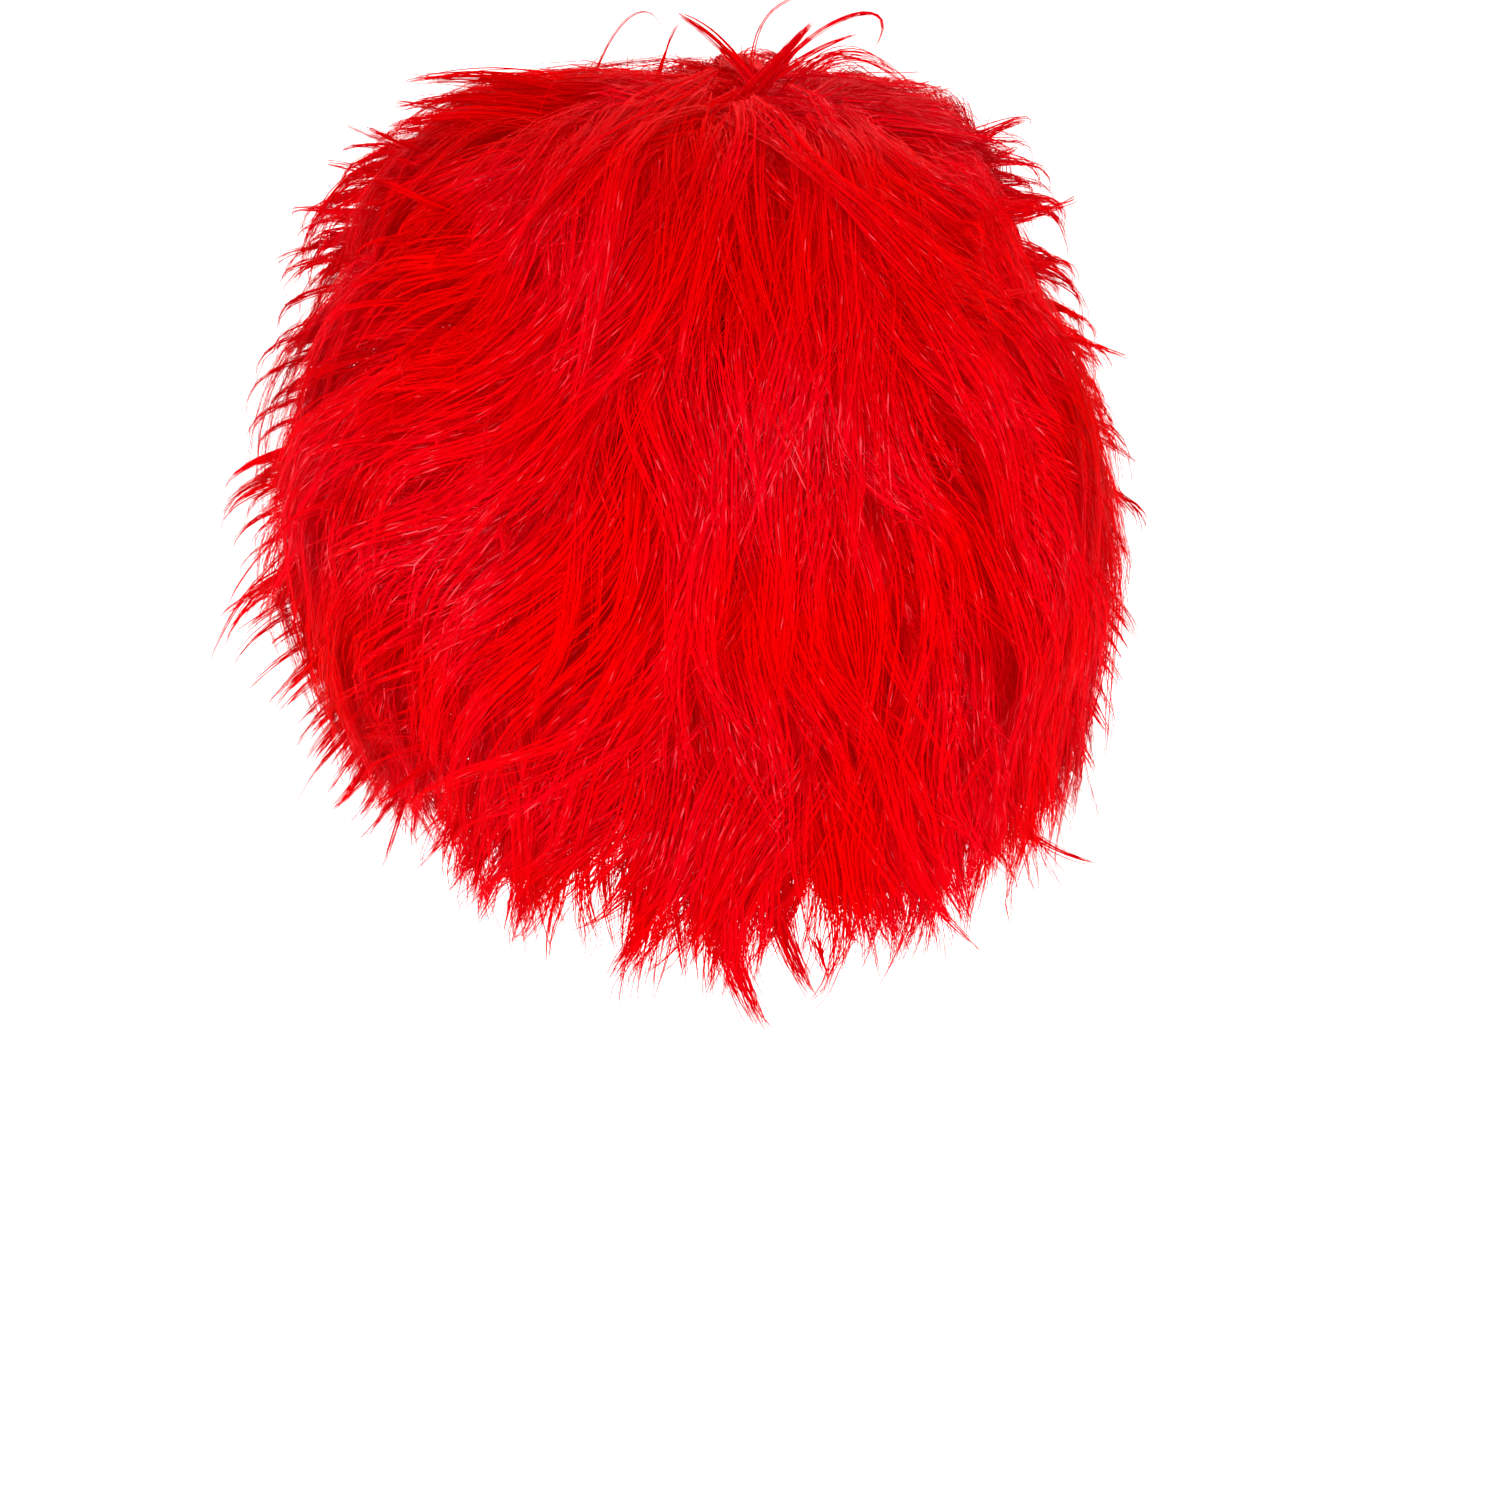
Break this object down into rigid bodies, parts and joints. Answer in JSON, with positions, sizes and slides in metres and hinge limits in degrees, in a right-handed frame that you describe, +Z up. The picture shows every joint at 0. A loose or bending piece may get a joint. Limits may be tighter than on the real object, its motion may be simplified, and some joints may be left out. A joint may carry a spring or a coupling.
{
  "type": "clown wig",
  "caption": "Shaggy, layered clown wig: rows of straight locks radiate from a crown whorl over an open net cap with an elastic edge band, fuller to one side and longest at the nape.",
  "frame": {"origin": "where the top of the wearer's head meets the inside of the cap", "axes": "+Z up, +Y the way the wearer faces, +X to the wearer's right: the picture looks along +Y at the wig's back"},
  "size_m": [0.3131, 0.2891, 0.3397],
  "materials": {
    "hair": "glossy synthetic fibre, brushed into locks",
    "net": "knitted mesh",
    "elastic": "ribbed woven elastic"
  },
  "bodies": {
    "root": {"net_cap": "net", "edge_band": "elastic", "crown_locks": "hair", "top_locks": "hair", "upper_locks": "hair", "middle_locks": "hair", "ear_locks": "hair", "lower_locks": "hair", "nape_locks": "hair"}
  },
  "joints": []
}
